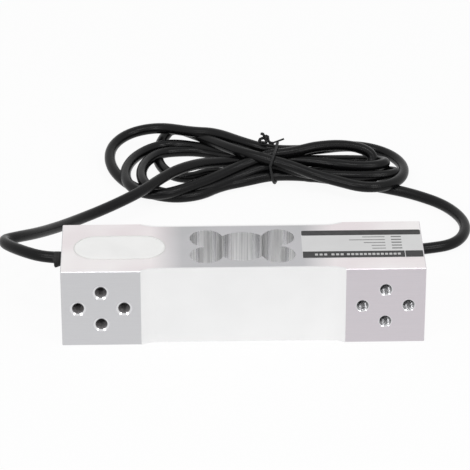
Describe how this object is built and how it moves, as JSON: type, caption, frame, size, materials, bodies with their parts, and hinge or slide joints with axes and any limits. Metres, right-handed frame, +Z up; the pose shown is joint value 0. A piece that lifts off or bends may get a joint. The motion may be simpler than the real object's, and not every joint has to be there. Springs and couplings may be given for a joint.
{
  "type": "single point load cell",
  "caption": "Milled aluminium beam load cell with binocular window, covered gauges, tapped end blocks, foil label and a tied signal cable.",
  "frame": {"origin": "middle of the side that the beam lies on", "axes": "+X along the beam towards the loaded end, +Y across the loaded faces towards the rear one, +Z up out of the side with the label"},
  "size_m": [0.2049, 0.1894, 0.0351],
  "materials": {
    "beam_aluminium": "fine milled and clear anodised",
    "cover_silicone": "matt white silicone",
    "potting_silicone": "satin white potting",
    "cable_jacket": "satin black PVC",
    "collar_rubber": "matt black rubber",
    "tie_plastic": "black plastic coat over wire",
    "label_film": "grey polyester film with dark bands",
    "gauge_polyimide": "amber polyimide",
    "solder_tin": "tinned",
    "enamelled_copper": "enamelled copper wire",
    "board_laminate": "green solder resist",
    "resistor_body": "lacquered",
    "core_red": "PVC core",
    "core_black": "PVC core",
    "core_white": "PVC core",
    "core_green": "PVC core"
  },
  "bodies": {
    "root": {"beam": "beam_aluminium", "bridge_board": "board_laminate", "bridge_wires_front": "enamelled_copper", "bridge_wires_rear": "enamelled_copper", "cable_collar": "collar_rubber", "cable_hank": "cable_jacket", "cable_lead": "cable_jacket", "cable_tail": "cable_jacket", "core_black_end": "core_black", "core_black_inner": "core_black", "core_green_end": "core_green", "core_green_inner": "core_green", "core_red_end": "core_red", "core_red_inner": "core_red", "core_white_end": "core_white", "core_white_inner": "core_white", "drain_wire_end": "solder_tin", "drain_wire_inner": "solder_tin", "gauge_cover_front": "cover_silicone", "gauge_cover_rear": "cover_silicone", "gauge_leads_front": "enamelled_copper", "gauge_leads_rear": "enamelled_copper", "pocket_potting": "potting_silicone", "rating_label": "label_film", "solder_terminal_front_fixed_end": "solder_tin", "solder_terminal_front_loaded_end": "solder_tin", "solder_terminal_rear_fixed_end": "solder_tin", "solder_terminal_rear_loaded_end": "solder_tin", "span_trim_resistor": "resistor_body", "strain_gauge_front_fixed_end": "gauge_polyimide", "strain_gauge_front_loaded_end": "gauge_polyimide", "strain_gauge_rear_fixed_end": "gauge_polyimide", "strain_gauge_rear_loaded_end": "gauge_polyimide", "temperature_resistor": "resistor_body", "twist_tie": "tie_plastic", "zero_trim_resistor": "resistor_body"}
  },
  "joints": []
}
